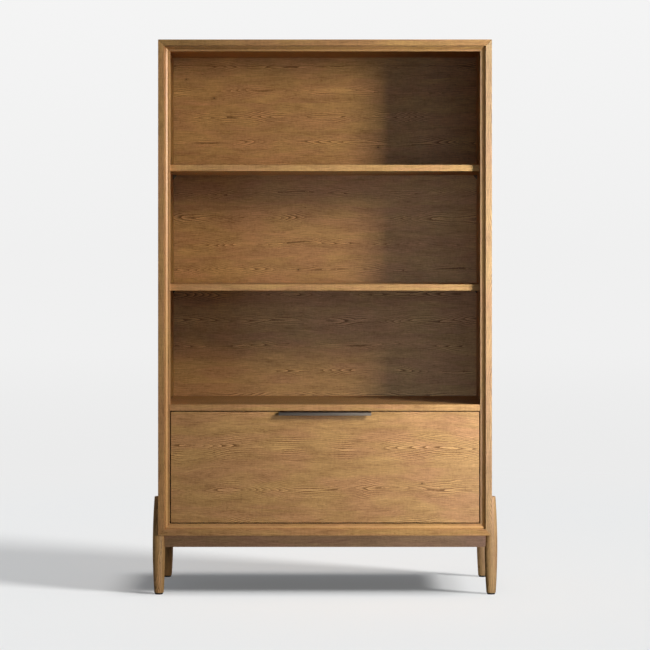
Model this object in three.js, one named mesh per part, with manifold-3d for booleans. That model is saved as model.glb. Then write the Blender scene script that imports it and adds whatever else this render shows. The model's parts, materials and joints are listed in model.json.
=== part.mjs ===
// A bookcase with one wide drawer at the bottom, on four turned legs.
// Millimetres, +Z up, the front faces -Y, and the origin is on the floor under the middle of the case.

import * as THREE from 'three';
import { mergeVertices } from 'three/addons/utils/BufferGeometryUtils.js';
import Module from 'manifold-3d';

const wasm = await Module();
wasm.setup();

// Clearances
const fit = 0.3; // between two pieces that touch
const overrun = 4; // how far a cutting shape runs past the face that it opens
const runningGap = 0.4; // between the nested members of a slide

// Case of four mitred boards
const caseWidth = 965;
const caseDepth = 400;
const caseHeight = 1434;
const caseLift = 174; // floor to the underside of the case
const boardThickness = 18;

// Back panel, seated in a rebate from behind
const rebateDepth = 18;
const rebateWidth = 9;
const backThickness = 8;

// Stepped inner face frame, its section given from the board's inner face and from the case's front
const lipWidth = 15;
const ledgeWidth = 4;
const ledgeRecess = 8;
const bevelWidth = 5;
const bevelDrop = 5;
const lipThickness = 22; // behind the flat that the drawer front lines up with

// Shelves
const drawerOpeningHeight = 327; // top of the bottom lip to the underside of the fixed shelf
const bayHeight = 329.5; // clear height of the two lower bays
const housingDepth = 6; // groove in each side for the fixed shelf
const shelfEndGap = 1; // loose shelf to the side of the case

// Shelf supports, and the rows of holes that they stand in
const pinDiameter = 5;
const pinLength = 8.5;
const pinHoleFloor = 0.5; // past the pin's end
const pinPitch = 32;
const pinSetIn = 37; // shelf edge to the row of holes
const spareHoles = 2; // above and below each used hole
const supportReach = 11;
const supportWidth = 9;
const supportHeight = 13;
const supportPlate = 2;

// Turned legs, halved round the side of the case
const legSetIn = 35; // case front or back to the leg's axis
const legClimb = 110; // how far the leg runs up the side of the case
const legFootDiameter = 27;
const legBellyDiameter = 36.5;
const legBellyHeight = 137;
const legTopDiameter = 25.5;
const legRings = 10;
const legFacets = 28;

// Glides under the legs
const glideDiameter = 23;
const glideThickness = 4;
const glideNailDiameter = 4;
const glideNailLength = 14;

// Bolts that hold the legs
const boltDiameter = 6;
const boltRise = 60; // above the underside of the case
const boltReach = 10; // into the leg
const boltHeadDiameter = 12;
const boltHeadThickness = 4;

// Apron and base rails
const apronHeight = 36;
const apronThickness = 18;

// Telescopic slides
const slideStep = 50; // slides come in lengths that are whole steps of this
const slideHeight = 45.7;
const slideSpace = 12.7; // from the lip's inner edge to the drawer box, on each side
const slideSheet = 1.2;
const slideRise = 75; // underside of the drawer box to the middle of the slide
const slideFlangeSetBack = 2.6; // the outer member's flanges stop this far short of the drawer box

// Drawer
const frontGap = 3.2; // round the drawer front
const frontThickness = 18;
const boxBoard = 15;
const boxHeight = 240;
const boxTail = 6; // box behind the ends of the slides
const boxRise = 14; // bottom of the drawer front to the bottom of the box
const boxBottomThickness = 6;
const boxBottomRise = 12;
const boxGroove = 7;

// Edge pull, let into the top edge of the drawer front
const pullLength = 267.5;
const pullSheet = 2;
const pullReach = 12.5; // in front of the drawer front
const pullSeat = 12; // back over the top edge
const pullLipHeight = 10;
const pullBend = 3; // outer radius
const pullBendSteps = 4;

// Screws
const pullScrewSetIn = 36;
const pullScrewSeat = 7; // drawer front's face to the screw
const pullScrewHead = 7;
const pullScrewShank = 3.5;
const pullScrewLength = 18;
const frontScrewHead = 10;
const frontScrewHeadThickness = 3;
const frontScrewShank = 4.5;
const frontScrewReach = 11; // into the drawer front
const frontScrewSetIn = 50;
const roundFacets = 16;

// Places worked out from the sizes above
const halfWidth = caseWidth / 2;
const innerHalf = halfWidth - boardThickness;
const caseFront = -caseDepth / 2;
const caseBack = caseDepth / 2;
const caseTop = caseLift + caseHeight;
const innerBottom = caseLift + boardThickness;
const innerTop = caseTop - boardThickness;
const rebateStep = caseBack - rebateDepth;
const lipFlat = caseFront + ledgeRecess + bevelDrop; // the drawer front's face is in this plane
const lipBack = lipFlat + lipThickness;
const openingHalf = innerHalf - lipWidth;
const openingBottom = innerBottom + lipWidth;
const fixedShelfBottom = openingBottom + drawerOpeningHeight;
const middleShelfBottom = fixedShelfBottom + boardThickness + bayHeight;
const upperShelfBottom = middleShelfBottom + boardThickness + bayHeight;
const shelfFront = lipBack + fit;
const shelfBack = rebateStep - fit;
const legY = caseBack - legSetIn;
const legFoot = glideThickness + fit;
const legTop = caseLift + legClimb;
const boltY = -lipBack - boltHeadDiameter / 2 - 2 * fit; // just behind the face frame, front and rear alike
const frontBottom = openingBottom + frontGap;
const frontTop = fixedShelfBottom - frontGap;
const frontHalf = openingHalf - frontGap;
const boxHalf = openingHalf - slideSpace;
const boxInnerHalf = boxHalf - boxBoard;
const slideFront = lipBack + fit;
const slideLength = Math.floor((shelfBack - slideFront) / slideStep) * slideStep;
const slideBack = slideFront + slideLength;
const boxFront = lipFlat + frontThickness + fit;
const boxBack = slideBack + boxTail;
const boxBottom = frontBottom + boxRise;
const boxTop = boxBottom + boxHeight;
const boxFloorBottom = boxBottom + boxBottomRise;
const boxFloorTop = boxFloorBottom + boxBottomThickness;
const slideZ = boxBottom + slideRise;

const sides = [
  { name: 'left', sign: -1 },
  { name: 'right', sign: 1 },
];
const ends = [
  { name: 'front', sign: -1 },
  { name: 'rear', sign: 1 },
];

// Finishes
const caseWood = { color: 0xb98a58, roughness: 0.5, metalness: 0 };
const drawerWood = { color: 0xd2b98f, roughness: 0.6, metalness: 0 };
const darkMetal = { color: 0x5c5a5b, roughness: 0.4, metalness: 0.9 };
const zincSteel = { color: 0xb4b6b8, roughness: 0.35, metalness: 1 };
const glidePlastic = { color: 0x2a2521, roughness: 0.7, metalness: 0 };

function piece(name, geometry, finish) {
  const mesh = new THREE.Mesh(geometry, new THREE.MeshStandardMaterial(finish));
  mesh.name = name;
  return mesh;
}

// A square-edged piece between two places on each axis.
function block(name, finish, [x0, x1], [y0, y1], [z0, z1]) {
  const mesh = piece(name, new THREE.BoxGeometry(x1 - x0, y1 - y0, z1 - z0), finish);
  mesh.position.set((x0 + x1) / 2, (y0 + y1) / 2, (z0 + z1) / 2);
  return mesh;
}

// The same between two distances from the middle plane, on the given side.
function sideBlock(name, finish, sign, [inner, outer], yRange, zRange) {
  const xRange = sign > 0 ? [inner, outer] : [-outer, -inner];
  return block(name, finish, xRange, yRange, zRange);
}

function cutter(xRange, yRange, zRange) {
  return block('cutter', {}, xRange, yRange, zRange);
}

function sideCutter(sign, reach, yRange, zRange) {
  return sideBlock('cutter', {}, sign, reach, yRange, zRange);
}

// A closed solid of a mesh, in the frame of the group that holds the mesh.
function solidOf(mesh) {
  mesh.updateMatrix();
  const bare = mesh.geometry.clone();
  bare.deleteAttribute('normal');
  bare.deleteAttribute('uv');
  const merged = mergeVertices(bare).applyMatrix4(mesh.matrix);
  const vertProperties = new Float32Array(merged.attributes.position.array);
  const triVerts = new Uint32Array(merged.index.array);
  return new wasm.Manifold(new wasm.Mesh({ numProp: 3, vertProperties, triVerts }));
}

function takeShape(mesh, solid) {
  const { vertProperties, triVerts } = solid.getMesh();
  const indexed = new THREE.BufferGeometry();
  indexed.setAttribute('position', new THREE.BufferAttribute(vertProperties, 3));
  indexed.setIndex(new THREE.BufferAttribute(triVerts, 1));
  indexed.applyMatrix4(mesh.matrix.clone().invert());
  mesh.geometry = indexed.toNonIndexed();
  mesh.geometry.computeVertexNormals();
  return mesh;
}

function cut(mesh, tools) {
  let solid = solidOf(mesh);
  for (const tool of tools) {
    solid = solid.subtract(solidOf(tool));
  }
  return takeShape(mesh, solid);
}

function join(mesh, others) {
  let solid = solidOf(mesh);
  for (const other of others) {
    solid = solid.add(solidOf(other));
  }
  return takeShape(mesh, solid);
}

// A round piece whose outline is given as [radius, height] pairs from the axis back to the axis.
function turned(name, finish, outline, facets) {
  const points = outline.map(([radius, height]) => new THREE.Vector2(radius, height));
  return piece(name, new THREE.LatheGeometry(points, facets), finish);
}

// Lays a turned piece down so that its upward axis points along +X or -X.
function layAlongX(mesh, sign) {
  mesh.rotation.z = (-sign * Math.PI) / 2;
  return mesh;
}

// Lays a turned piece so that its upward axis points along +Y or -Y.
function layAlongY(mesh, sign) {
  mesh.rotation.x = sign > 0 ? 0 : Math.PI;
  return mesh;
}

// Stands a turned piece up, because a lathe turns round the Y axis.
function standUp(mesh) {
  mesh.rotation.x = Math.PI / 2;
  return mesh;
}

function shapeOf(points) {
  return new THREE.Shape(points.map(([across, along]) => new THREE.Vector2(across, along)));
}

// A bar of the four-sided case: its section is [inward, back] pairs, and it runs along X with mitred ends.
function mitredBar(name, finish, section, length) {
  const geometry = new THREE.ExtrudeGeometry(shapeOf(section), { depth: length, bevelEnabled: false });
  geometry.translate(0, 0, -length / 2);
  geometry.rotateY(-Math.PI / 2);
  const places = geometry.attributes.position;
  for (let i = 0; i < places.count; i += 1) {
    places.setX(i, Math.sign(places.getX(i)) * (length / 2 - places.getZ(i)));
  }
  geometry.computeVertexNormals();
  return piece(name, geometry, finish);
}

// The four sides of a ring whose outer edge lies at the given half width, bottom and top.
function ring(names, finish, section, ringHalf, ringBottom, ringTop) {
  const middle = (ringBottom + ringTop) / 2;
  const upright = ringTop - ringBottom - 2 * fit;
  const places = [
    { turn: 0, length: 2 * ringHalf, x: 0, z: ringBottom },
    { turn: Math.PI, length: 2 * ringHalf, x: 0, z: ringTop },
    { turn: Math.PI / 2, length: upright, x: -ringHalf, z: middle },
    { turn: -Math.PI / 2, length: upright, x: ringHalf, z: middle },
  ];
  return places.map((place, i) => {
    const bar = mitredBar(names[i], finish, section, place.length);
    bar.rotation.y = place.turn;
    bar.position.set(place.x, caseFront, place.z);
    return bar;
  });
}

function rebateCutter() {
  const xReach = innerHalf + rebateWidth;
  const zRange = [innerBottom - rebateWidth, innerTop + rebateWidth];
  return cutter([-xReach, xReach], [rebateStep, caseBack + overrun], zRange);
}

// Height of a support's hole below the shelf that it carries.
const pinDrop = fit + supportHeight / 2;

function pinHoles(sign) {
  const holes = [];
  const radius = pinDiameter / 2 + fit;
  const depth = pinLength + pinHoleFloor;
  for (const shelfBottom of [middleShelfBottom, upperShelfBottom]) {
    for (const y of [shelfFront + pinSetIn, shelfBack - pinSetIn]) {
      for (let step = -spareHoles; step <= spareHoles; step += 1) {
        const hole = layAlongX(
          piece('cutter', new THREE.CylinderGeometry(radius, radius, depth + overrun, roundFacets), {}), sign);
        hole.position.set(
          sign * (innerHalf + (depth - overrun) / 2), y, shelfBottom - pinDrop + step * pinPitch);
        holes.push(hole);
      }
    }
  }
  return holes;
}

// A leg's bolt, pointing along its own +Y, its head's underside at zero.
function boltOutline(grown) {
  const shank = boltDiameter / 2 + grown;
  const reach = boardThickness + 2 * fit + boltReach + grown;
  return [[0, 0], [shank, 0], [shank, reach], [0, reach]];
}

function boltPlace(side, end) {
  return new THREE.Vector3(side.sign * (innerHalf - fit), end.sign * boltY, caseLift + boltRise);
}

function boltHole(side, end) {
  const hole = turned('cutter', {}, boltOutline(fit), roundFacets);
  layAlongX(hole, side.sign);
  hole.position.copy(boltPlace(side, end));
  return hole;
}

function legBolt(side, end) {
  const shank = boltOutline(0);
  const head = boltHeadDiameter / 2;
  const outline = [[0, -boltHeadThickness], [head, -boltHeadThickness], [head, 0], ...shank.slice(1)];
  const bolt = turned(`leg_bolt_${end.name}_${side.name}`, zincSteel, outline, roundFacets);
  layAlongX(bolt, side.sign);
  bolt.position.copy(boltPlace(side, end));
  return bolt;
}

function caseShell() {
  const section = [[0, 0], [boardThickness, 0], [boardThickness, caseDepth], [0, caseDepth]];
  const names = ['bottom_panel', 'top_panel', 'left_side_panel', 'right_side_panel'];
  const panels = ring(names, caseWood, section, halfWidth, caseLift, caseTop);
  const housingZ = [fixedShelfBottom - fit, fixedShelfBottom + boardThickness + fit];
  const housingY = [lipBack, rebateStep + overrun];
  for (const [i, panel] of panels.entries()) {
    const side = sides[i - 2];
    const tools = [rebateCutter()];
    if (side) {
      const reach = [innerHalf - overrun, innerHalf + housingDepth];
      tools.push(sideCutter(side.sign, reach, housingY, housingZ));
      tools.push(...pinHoles(side.sign));
      tools.push(...ends.map((end) => boltHole(side, end)));
    }
    cut(panel, tools);
  }
  return panels;
}

function faceFrame() {
  const ledgeEnd = ledgeWidth;
  const bevelEnd = ledgeWidth + bevelWidth;
  const flat = ledgeRecess + bevelDrop;
  const back = flat + lipThickness;
  const section = [
    [fit, ledgeRecess], [ledgeEnd, ledgeRecess], [bevelEnd, flat],
    [lipWidth, flat], [lipWidth, back], [fit, back],
  ];
  const names = ['face_frame_bottom_rail', 'face_frame_top_rail', 'face_frame_left_stile', 'face_frame_right_stile'];
  return ring(names, caseWood, section, innerHalf, innerBottom, innerTop);
}

function backPanel() {
  const xReach = innerHalf + rebateWidth - fit;
  const zRange = [innerBottom - rebateWidth + fit, innerTop + rebateWidth - fit];
  const front = rebateStep + fit;
  return block('back_panel', caseWood, [-xReach, xReach], [front, front + backThickness], zRange);
}

function fixedShelf() {
  const xReach = innerHalf + housingDepth - fit;
  const zRange = [fixedShelfBottom, fixedShelfBottom + boardThickness];
  const shelf = block('fixed_shelf', caseWood, [-xReach, xReach], [lipFlat, shelfBack], zRange);
  const notchY = [lipFlat - overrun, shelfFront];
  const notchZ = [zRange[0] - overrun, zRange[1] + overrun];
  const notches = sides.map(({ sign }) =>
    sideCutter(sign, [openingHalf - fit, xReach + overrun], notchY, notchZ));
  return cut(shelf, notches);
}

function looseShelf(name, bottom) {
  const xReach = innerHalf - shelfEndGap;
  return block(name, caseWood, [-xReach, xReach], [shelfFront, shelfBack], [bottom, bottom + boardThickness]);
}

// A cast support: a plate on the side of the case, a tongue under the shelf, a web between, and a round pin.
function shelfSupport(name, side, y, shelfBottom) {
  const reach = supportReach;
  const plate = supportPlate;
  const outline = [[0, 0], [reach, 0], [reach, -plate], [plate, -supportHeight], [0, -supportHeight]];
  const body = piece(
    name, new THREE.ExtrudeGeometry(shapeOf(outline), { depth: supportWidth, bevelEnabled: false }), zincSteel);
  body.geometry.translate(0, 0, -supportWidth / 2);
  body.geometry.rotateX(Math.PI / 2);
  body.rotation.z = side.sign > 0 ? Math.PI : 0;
  body.position.set(side.sign * (innerHalf - fit), y, shelfBottom - fit);
  const radius = pinDiameter / 2;
  const length = pinLength + fit + plate / 2;
  const pin = layAlongX(
    piece('pin', new THREE.CylinderGeometry(radius, radius, length, roundFacets), {}), side.sign);
  pin.position.set(side.sign * (innerHalf + pinLength - length / 2), y, shelfBottom - pinDrop);
  return join(body, [pin]);
}

function shelfSupports() {
  const shelves = [{ name: 'middle', bottom: middleShelfBottom }, { name: 'upper', bottom: upperShelfBottom }];
  const supports = [];
  for (const shelf of shelves) {
    for (const side of sides) {
      for (const end of ends) {
        const y = end.sign < 0 ? shelfFront + pinSetIn : shelfBack - pinSetIn;
        const name = `${shelf.name}_shelf_support_${end.name}_${side.name}`;
        supports.push(shelfSupport(name, side, y, shelf.bottom));
      }
    }
  }
  return supports;
}

// The leg swells from its foot to its belly and draws in again to its top, on two parabolas.
function legRadius(height) {
  const below = height < legBellyHeight;
  const endRadius = (below ? legFootDiameter : legTopDiameter) / 2;
  const endHeight = below ? legFoot : legTop;
  const share = (height - legBellyHeight) / (endHeight - legBellyHeight);
  return legBellyDiameter / 2 - (legBellyDiameter / 2 - endRadius) * share * share;
}

function turnedLeg(name, side, end, grown) {
  const outline = [[0, legFoot]];
  for (let i = 0; i <= legRings; i += 1) {
    const height = legFoot + ((legTop - legFoot) * i) / legRings;
    outline.push([legRadius(height) + grown, height]);
  }
  outline.push([0, legTop]);
  const leg = standUp(turned(name, caseWood, outline, legFacets));
  leg.position.set(side.sign * halfWidth, end.sign * legY, 0);
  return leg;
}

function glideOutline(grown) {
  const disc = glideDiameter / 2;
  const nail = glideNailDiameter / 2 + grown;
  const tip = glideThickness + glideNailLength + grown;
  return [[0, 0], [disc, 0], [disc, glideThickness], [nail, glideThickness], [nail, tip], [0, tip]];
}

function glide(name, side, end, grown) {
  const mesh = standUp(turned(name, glidePlastic, glideOutline(grown), roundFacets));
  mesh.position.set(side.sign * halfWidth, end.sign * legY, 0);
  return mesh;
}

function leg(side, end) {
  const mesh = turnedLeg(`leg_${end.name}_${side.name}`, side, end, 0);
  const across = legBellyDiameter / 2 + overrun;
  const y = end.sign * legY;
  const seat = sideCutter(
    side.sign, [halfWidth - across, halfWidth + fit], [y - across, y + across],
    [caseLift - fit, legTop + overrun]);
  return cut(mesh, [seat, boltHole(side, end), glide('cutter', side, end, fit)]);
}

function grownLegs() {
  return sides.flatMap((side) => ends.map((end) => turnedLeg('cutter', side, end, fit)));
}

function base() {
  const zRange = [caseLift - fit - apronHeight, caseLift - fit];
  const pieces = [];
  for (const end of ends) {
    const middle = end.sign * legY;
    const yRange = [middle - apronThickness / 2, middle + apronThickness / 2];
    pieces.push(block(`${end.name}_apron`, caseWood, [-halfWidth, halfWidth], yRange, zRange));
  }
  const railEnd = legY - apronThickness / 2 - fit;
  for (const side of sides) {
    const reach = [halfWidth - apronThickness, halfWidth];
    const name = `${side.name}_base_rail`;
    pieces.push(sideBlock(name, caseWood, side.sign, reach, [-railEnd, railEnd], zRange));
  }
  for (const part of pieces) {
    cut(part, grownLegs());
  }
  for (const side of sides) {
    for (const end of ends) {
      pieces.push(leg(side, end));
      pieces.push(glide(`glide_${end.name}_${side.name}`, side, end, 0));
      pieces.push(legBolt(side, end));
    }
  }
  return pieces;
}

// A slide member: a channel that runs along Y, with its web at one side and its flanges towards the other.
function channel(name, side, web, lip, halfHeight) {
  const turn = Math.sign(lip - web);
  const inside = web + turn * slideSheet;
  const low = halfHeight - slideSheet;
  const outline = [
    [web, -halfHeight], [lip, -halfHeight], [lip, -low], [inside, -low],
    [inside, low], [lip, low], [lip, halfHeight], [web, halfHeight],
  ];
  const shape = shapeOf(outline.map(([x, z]) => [side.sign * x, z]));
  const geometry = new THREE.ExtrudeGeometry(shape, { depth: slideLength, bevelEnabled: false });
  geometry.translate(0, 0, -slideLength / 2);
  geometry.rotateX(Math.PI / 2);
  const mesh = piece(name, geometry, zincSteel);
  mesh.position.set(0, (slideFront + slideBack) / 2, slideZ);
  return mesh;
}

function slides() {
  const pieces = [];
  const outerWeb = openingHalf - fit;
  const outerLip = boxHalf + slideFlangeSetBack;
  const outerHalf = slideHeight / 2;
  const middleWeb = outerWeb - slideSheet - runningGap;
  const middleHalf = outerHalf - slideSheet - runningGap;
  const middleLip = outerLip - slideSheet;
  const innerWeb = boxHalf + fit;
  const innerMemberHalf = middleHalf - slideSheet - runningGap;
  const innerLip = middleWeb - slideSheet - runningGap;
  const spacerZ = [slideZ - slideHeight / 2, slideZ + slideHeight / 2];
  for (const side of sides) {
    const name = `${side.name}_slide`;
    pieces.push(sideBlock(
      `${name}_spacer`, drawerWood, side.sign, [openingHalf, innerHalf - fit], [slideFront, slideBack], spacerZ));
    pieces.push(channel(`${name}_outer_member`, side, outerWeb, outerLip, outerHalf));
    pieces.push(channel(`${name}_middle_member`, side, middleWeb, middleLip, middleHalf));
    pieces.push(channel(`${name}_inner_member`, side, innerWeb, innerLip, innerMemberHalf));
  }
  return pieces;
}

// The pull's section, [back, up] from the drawer front's face and top edge: a seat, a bend and a hanging lip.
function pullSection(grown) {
  const outer = pullBend + grown;
  const inner = pullBend - pullSheet;
  const bendY = -pullReach + pullBend;
  const outline = [[pullSeat + grown, 0]];
  for (let i = 0; i <= pullBendSteps; i += 1) {
    const turn = (Math.PI / 2) * (1 + i / pullBendSteps);
    outline.push([bendY + outer * Math.cos(turn), -pullBend + outer * Math.sin(turn)]);
  }
  outline.push([-pullReach, -pullLipHeight]);
  outline.push([-pullReach + pullSheet, -pullLipHeight]);
  for (let i = pullBendSteps; i >= 0; i -= 1) {
    const turn = (Math.PI / 2) * (1 + i / pullBendSteps);
    outline.push([bendY + inner * Math.cos(turn), -pullBend + inner * Math.sin(turn)]);
  }
  outline.push([pullSeat + grown, -pullSheet]);
  return outline;
}

// A countersunk screw that points down, its head's top at zero.
function pullScrewOutline(grown) {
  const head = pullScrewHead / 2 + grown;
  const shank = pullScrewShank / 2 + grown;
  const tip = -pullScrewLength - grown;
  return [[0, tip], [shank, tip + shank], [shank, shank - head], [head, 0], [0, 0]];
}

function pullScrew(name, side, grown) {
  const screw = standUp(turned(name, darkMetal, pullScrewOutline(grown), roundFacets));
  screw.position.set(side.sign * (pullLength / 2 - pullScrewSetIn), lipFlat + pullScrewSeat, frontTop);
  return screw;
}

function pullScrewHoles() {
  return sides.map((side) => {
    const hole = pullScrew('cutter', side, fit);
    hole.position.z += fit / 2;
    return hole;
  });
}

function drawerPull() {
  const shape = shapeOf(pullSection(0));
  const geometry = new THREE.ExtrudeGeometry(shape, { depth: pullLength, bevelEnabled: false });
  geometry.translate(0, 0, -pullLength / 2);
  geometry.rotateY(Math.PI / 2);
  geometry.rotateX(Math.PI / 2);
  const pull = piece('drawer_pull', geometry, darkMetal);
  pull.position.set(0, lipFlat, frontTop);
  return cut(pull, pullScrewHoles());
}

// A round-headed screw that points to the front, its head's underside at zero.
function frontScrew(name, side, level, grown) {
  const head = frontScrewHead / 2;
  const shank = frontScrewShank / 2 + grown;
  const reach = boxBoard + 2 * fit + frontScrewReach + grown;
  const thick = frontScrewHeadThickness;
  const outline = grown > 0
    ? [[0, 0], [shank, 0], [shank, reach], [0, reach]]
    : [[0, -thick], [head, -thick], [head, 0], [shank, 0], [shank, reach], [0, reach]];
  const screw = layAlongY(turned(name, zincSteel, outline, roundFacets), -1);
  screw.position.set(
    side.sign * (boxInnerHalf - frontScrewSetIn), boxFront + boxBoard + fit, level.z);
  return screw;
}

const screwLevels = [
  { name: 'lower', z: boxFloorTop + frontScrewSetIn },
  { name: 'upper', z: boxTop - frontScrewSetIn },
];

function frontScrewHoles() {
  return sides.flatMap((side) => screwLevels.map((level) => frontScrew('cutter', side, level, fit)));
}

function drawerFront() {
  const yRange = [lipFlat, lipFlat + frontThickness];
  const front = block('drawer_front', caseWood, [-frontHalf, frontHalf], yRange, [frontBottom, frontTop]);
  const seatHalf = pullLength / 2 + fit;
  const seat = cutter(
    [-seatHalf, seatHalf], [lipFlat - overrun, lipFlat + pullSeat + fit],
    [frontTop - pullSheet - fit, frontTop + overrun]);
  return cut(front, [seat, ...pullScrewHoles(), ...frontScrewHoles()]);
}

function drawerBox() {
  const zRange = [boxBottom, boxTop];
  const floorReach = boxInnerHalf + boxGroove - fit;
  const floorFront = boxFront + boxBoard - boxGroove + fit;
  const grooveZ = [boxFloorBottom - fit, boxFloorTop + fit];
  const groove = cutter(
    [-boxInnerHalf - boxGroove, boxInnerHalf + boxGroove], [floorFront - fit, boxBack + overrun], grooveZ);
  const pieces = sides.map((side) => cut(
    sideBlock(`drawer_${side.name}_side`, drawerWood, side.sign, [boxInnerHalf, boxHalf],
      [boxFront, boxBack], zRange),
    [groove]));
  const endReach = boxInnerHalf - fit;
  const subFront = block(
    'drawer_sub_front', drawerWood, [-endReach, endReach], [boxFront, boxFront + boxBoard], zRange);
  pieces.push(cut(subFront, [groove, ...frontScrewHoles()]));
  pieces.push(block(
    'drawer_back', drawerWood, [-endReach, endReach], [boxBack - boxBoard, boxBack],
    [boxFloorTop + fit, boxTop]));
  pieces.push(block(
    'drawer_floor', drawerWood, [-floorReach, floorReach], [floorFront, boxBack],
    [boxFloorBottom, boxFloorTop]));
  return pieces;
}

function drawer() {
  const pieces = [drawerFront(), ...drawerBox(), drawerPull()];
  for (const side of sides) {
    pieces.push(pullScrew(`pull_screw_${side.name}`, side, 0));
    for (const level of screwLevels) {
      pieces.push(frontScrew(`drawer_front_screw_${level.name}_${side.name}`, side, level, 0));
    }
  }
  return pieces;
}

function groupOf(name, pieces) {
  const group = new THREE.Group();
  group.name = name;
  group.add(...pieces);
  return group;
}

const bookcase = groupOf('bookcase', [
  groupOf('case', [...caseShell(), ...faceFrame(), backPanel()]),
  groupOf('shelves', [
    fixedShelf(), looseShelf('middle_shelf', middleShelfBottom), looseShelf('upper_shelf', upperShelfBottom),
    ...shelfSupports(),
  ]),
  groupOf('base', base()),
  groupOf('slides', slides()),
  groupOf('drawer', drawer()),
]);

export default bookcase;
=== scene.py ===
"""Looks for the bookcase with one wide bottom drawer. Metres, +Z up, the front faces -Y."""

import json
import math

import bmesh
import bpy
from mathutils import Matrix, Vector

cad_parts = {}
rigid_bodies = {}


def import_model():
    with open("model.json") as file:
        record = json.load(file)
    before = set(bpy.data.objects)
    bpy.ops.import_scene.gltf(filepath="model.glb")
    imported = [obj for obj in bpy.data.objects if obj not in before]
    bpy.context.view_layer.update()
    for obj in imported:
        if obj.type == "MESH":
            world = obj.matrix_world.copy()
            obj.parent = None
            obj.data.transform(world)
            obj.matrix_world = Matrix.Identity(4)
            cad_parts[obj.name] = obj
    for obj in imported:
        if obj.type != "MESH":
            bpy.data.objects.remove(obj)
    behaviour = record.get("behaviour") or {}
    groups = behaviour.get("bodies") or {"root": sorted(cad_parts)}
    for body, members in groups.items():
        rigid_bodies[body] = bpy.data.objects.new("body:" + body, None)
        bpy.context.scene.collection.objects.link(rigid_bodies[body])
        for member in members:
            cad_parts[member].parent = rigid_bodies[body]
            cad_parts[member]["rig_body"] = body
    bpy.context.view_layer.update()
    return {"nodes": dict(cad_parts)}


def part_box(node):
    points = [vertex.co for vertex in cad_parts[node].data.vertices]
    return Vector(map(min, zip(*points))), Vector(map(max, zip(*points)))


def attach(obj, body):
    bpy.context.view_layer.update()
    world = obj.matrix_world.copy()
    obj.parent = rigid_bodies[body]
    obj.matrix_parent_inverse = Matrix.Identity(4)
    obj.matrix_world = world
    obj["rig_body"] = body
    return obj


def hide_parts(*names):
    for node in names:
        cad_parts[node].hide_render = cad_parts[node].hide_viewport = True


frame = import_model()
MM = 0.001


# Workbench: making, shaping and handing over a piece. Sizes and places are in millimetres

TOUCHING = 0.00001  # points that are nearer than this count as one, in metres


def clear_bench():
    if bpy.context.object and bpy.context.object.mode != "OBJECT":
        bpy.ops.object.mode_set(mode="OBJECT")
    bpy.ops.object.select_all(action="DESELECT")


def take_up(piece):
    clear_bench()
    bpy.context.view_layer.objects.active = piece
    piece.select_set(True)
    bpy.ops.object.mode_set(mode="EDIT")
    bpy.ops.mesh.select_mode(type="FACE")
    bpy.ops.mesh.select_all(action="SELECT")


def put_down(piece, smooth=30):
    """Back to object mode, with its place in its mesh and its round faces shaded round."""
    bpy.ops.object.mode_set(mode="OBJECT")
    bpy.ops.object.transform_apply(location=True, rotation=True, scale=True)
    bpy.ops.object.shade_smooth_by_angle(angle=math.radians(smooth))
    return piece


def pick_faces(piece, wanted):
    mesh = bmesh.from_edit_mesh(piece.data)
    for face in mesh.faces:
        face.select = False
    mesh.select_flush(False)
    for face in mesh.faces:
        face.select = bool(wanted(face.calc_center_median(), face.normal))
    mesh.select_flush_mode()
    bmesh.update_edit_mesh(piece.data)


def pick_side(piece, side, squareness=0.99):
    """Selects the faces that look to one side, such as +z or -y."""
    sign = -1 if side[0] == "-" else 1
    axis = "xyz".index(side[1])
    pick_faces(piece, lambda centre, normal: normal[axis] * sign > squareness)


def pick_sharp_edges(angle):
    bpy.ops.mesh.select_mode(type="EDGE")
    bpy.ops.mesh.select_all(action="DESELECT")
    bpy.ops.mesh.edges_select_sharp(sharpness=math.radians(angle))


def round_edges(size, steps, profile=0.5, clamp=False):
    bpy.ops.mesh.bevel(offset=size * MM, segments=steps, profile=profile, affect="EDGES", clamp_overlap=clamp)


def inset(width, depth=0.0):
    bpy.ops.mesh.inset(thickness=width * MM, depth=depth * MM)


def draw_out(x=0.0, y=0.0, z=0.0):
    bpy.ops.mesh.extrude_region_move(TRANSFORM_OT_translate={"value": (x * MM, y * MM, z * MM)})


def new_block(name, low, high):
    """A block from its two corners, taken up for shaping."""
    clear_bench()
    low, high = Vector(low) * MM, Vector(high) * MM
    bpy.ops.mesh.primitive_cube_add(size=1, location=(low + high) / 2)
    piece = bpy.context.object
    piece.name = name
    piece.scale = high - low
    bpy.ops.object.transform_apply(location=True, rotation=True, scale=True)
    take_up(piece)
    return piece


def new_round(name, middle, radius, height, sides=32, turn=(0, 0, 0)):
    """A round bar about its middle, taken up for shaping."""
    clear_bench()
    bpy.ops.mesh.primitive_cylinder_add(
        vertices=sides, radius=radius * MM, depth=height * MM, end_fill_type="NGON",
        location=Vector(middle) * MM, rotation=turn)
    piece = bpy.context.object
    piece.name = name
    bpy.ops.object.transform_apply(location=True, rotation=True, scale=True)
    take_up(piece)
    return piece


def from_frame(node, name, sharper_than, edge, clamp=False):
    """A copy of a node as the frame has it, taken up, with its sharp edges rubbed round."""
    piece = bpy.data.objects.new(name, frame["nodes"][node].data.copy())
    bpy.context.scene.collection.objects.link(piece)
    take_up(piece)
    bpy.ops.mesh.remove_doubles(threshold=TOUCHING)
    bpy.ops.mesh.dissolve_limited(angle_limit=math.radians(0.6))
    pick_sharp_edges(sharper_than)
    round_edges(edge, 2, clamp=clamp)
    return piece


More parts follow.
